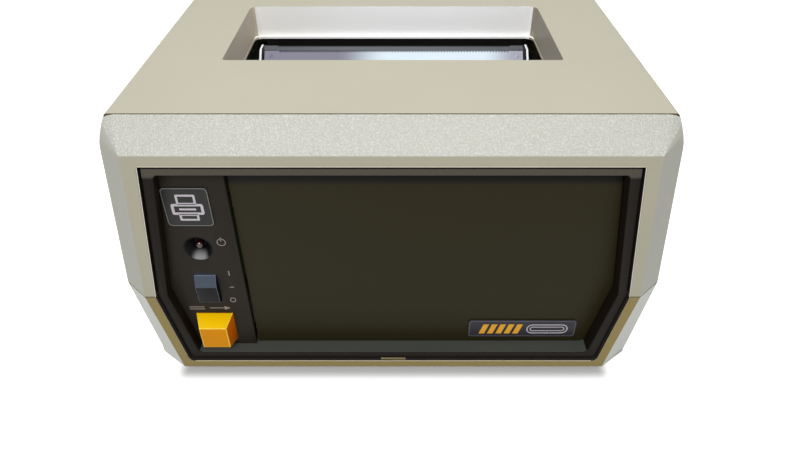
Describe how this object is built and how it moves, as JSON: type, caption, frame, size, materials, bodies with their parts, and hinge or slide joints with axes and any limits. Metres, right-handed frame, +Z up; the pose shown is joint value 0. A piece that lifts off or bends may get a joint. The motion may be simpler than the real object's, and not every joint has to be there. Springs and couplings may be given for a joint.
{
  "type": "dot matrix printer",
  "caption": "Desk-top impact printer for roll paper: flared two-part case, hinged cover with paper exit well, dark front panel with lamp, rocker switch and paper key, full print mechanism.",
  "frame": {"origin": "middle of the footprint, on the table under the rubber feet", "axes": "+X to the right seen from the front, +Y from the front to the rear, +Z up"},
  "size_m": [0.3104, 0.36, 0.169],
  "materials": {
    "cover_plastic": "satin",
    "case_plastic": "satin",
    "rubber": "matt",
    "zinc": "satin",
    "frame_plastic": "satin",
    "panel_plastic": "gloss",
    "badge_metal": "satin",
    "name_metal": "satin",
    "cup_plastic": "satin",
    "lamp_red": "gloss",
    "black_plastic": "satin",
    "rocker_plastic": "satin",
    "key_amber": "satin",
    "panel_paint": "satin",
    "board_green": "satin",
    "transformer_iron": "satin",
    "capacitor_sleeve": "gloss",
    "aluminium": "satin",
    "mechanism_steel": "satin",
    "blade_steel": "satin",
    "guide_steel": "polished",
    "dark_steel": "satin",
    "ground_steel": "polished",
    "head_metal": "satin",
    "white_plastic": "satin",
    "motor_steel": "satin",
    "brass": "satin",
    "ribbon_fabric": "matt",
    "paper": "matt"
  },
  "bodies": {
    "case": {"base_shell": "case_plastic", "rubber_feet": "rubber", "case_screws": "zinc", "front_bezel": "case_plastic", "upper_housing": "case_plastic", "hinge_pins": "zinc", "front_frame": "frame_plastic", "front_panel": "panel_plastic", "control_panel": "frame_plastic", "badge_plate": "badge_metal", "name_plate": "name_metal", "lamp_cup": "cup_plastic", "power_lamp": "lamp_red", "switch_body": "black_plastic", "rocker_pin": "zinc", "key_switch": "black_plastic", "rear_panel": "panel_paint", "mains_inlet": "black_plastic", "data_sockets": "black_plastic", "fuse_holder": "black_plastic", "panel_screws": "zinc", "circuit_board": "board_green", "board_parts": "black_plastic", "transformer": "transformer_iron", "filter_capacitors": "capacitor_sleeve", "heat_sink": "aluminium", "mechanism_base": "mechanism_steel", "side_plate_left": "mechanism_steel", "side_plate_right": "mechanism_steel", "tear_blade": "blade_steel", "steel_guide": "guide_steel", "paper_chute": "black_plastic", "platen": "dark_steel", "guide_rods": "ground_steel", "drive_motor": "motor_steel", "feed_motor": "motor_steel", "pinch_bracket": "mechanism_steel", "ribbon_deck": "mechanism_steel", "ink_ribbon": "ribbon_fabric", "roll_brackets": "mechanism_steel"},
    "cover": {"top_cover": "cover_plastic"},
    "rocker": {"power_rocker": "rocker_plastic"},
    "advance_key": {"advance_key": "key_amber"},
    "print_carriage": {"carriage": "black_plastic", "print_head": "head_metal"},
    "drum": {"drive_drum": "white_plastic", "drum_gear": "white_plastic"},
    "drive_pinion": {"drive_pinion": "brass"},
    "feed": {"feed_shaft": "ground_steel", "feed_rollers": "rubber", "feed_gear": "white_plastic"},
    "feed_pinion": {"feed_pinion": "brass"},
    "pinch": {"pinch_rollers": "rubber"},
    "spool_left": {"ribbon_spool_left": "black_plastic"},
    "spool_right": {"ribbon_spool_right": "black_plastic"},
    "roll": {"roll_spindle": "black_plastic", "paper_roll": "paper"}
  },
  "joints": [
    {"name": "cover_hinge", "type": "hinge", "parent": "case", "child": "cover", "pos_m": [0, 0.1439, 0.1637], "axis": [-1, 0, 0], "range_deg": [0, 93]},
    {"name": "power_switch", "type": "hinge", "parent": "case", "child": "rocker", "pos_m": [-0.1075, -0.1683, 0.064], "axis": [1, 0, 0], "range_deg": [0, 16]},
    {"name": "advance_press", "type": "slide", "parent": "case", "child": "advance_key", "axis": [0, 1, 0], "range_m": [0, 0.004], "stiffness_N_per_m": 300, "springref_m": -0.002},
    {"name": "drum_turn", "type": "hinge", "parent": "case", "child": "drum", "pos_m": [0, -0.047, 0.072], "axis": [1, 0, 0], "range_deg": [-540, 540]},
    {"name": "carriage_slide", "type": "slide", "parent": "case", "child": "print_carriage", "axis": [1, 0, 0], "range_m": [-0.042, 0.042]},
    {"name": "drive_pinion_turn", "type": "hinge", "parent": "case", "child": "drive_pinion", "pos_m": [0, -0.06416, 0.05998], "axis": [1, 0, 0], "range_deg": [-1800, 1800]},
    {"name": "feed_turn", "type": "hinge", "parent": "case", "child": "feed", "pos_m": [0, -0.0067, 0.088], "axis": [-1, 0, 0], "continuous": true},
    {"name": "feed_pinion_turn", "type": "hinge", "parent": "case", "child": "feed_pinion", "pos_m": [0, 0.00574, 0.07318], "axis": [-1, 0, 0], "continuous": true},
    {"name": "pinch_turn", "type": "hinge", "parent": "case", "child": "pinch", "pos_m": [0, -0.0203, 0.088], "axis": [-1, 0, 0], "continuous": true},
    {"name": "roll_turn", "type": "hinge", "parent": "case", "child": "roll", "pos_m": [0, 0.085, 0.078], "axis": [-1, 0, 0], "continuous": true},
    {"name": "spool_left_turn", "type": "hinge", "parent": "case", "child": "spool_left", "pos_m": [-0.06, -0.106, 0.117], "axis": [0, 0, 1], "continuous": true},
    {"name": "spool_right_turn", "type": "hinge", "parent": "case", "child": "spool_right", "pos_m": [0.06, -0.106, 0.117], "axis": [0, 0, 1], "continuous": true}
  ],
  "couplings": [
    {"joint": "drum_turn", "follows": "carriage_slide", "rad_per_m": 224.4},
    {"joint": "drive_pinion_turn", "follows": "carriage_slide", "rad_per_m": -748},
    {"joint": "feed_pinion_turn", "follows": "feed_turn", "ratio": -3},
    {"joint": "pinch_turn", "follows": "feed_turn", "ratio": -1.6},
    {"joint": "roll_turn", "follows": "feed_turn", "ratio": 0.16},
    {"joint": "spool_right_turn", "follows": "spool_left_turn", "ratio": 1}
  ]
}
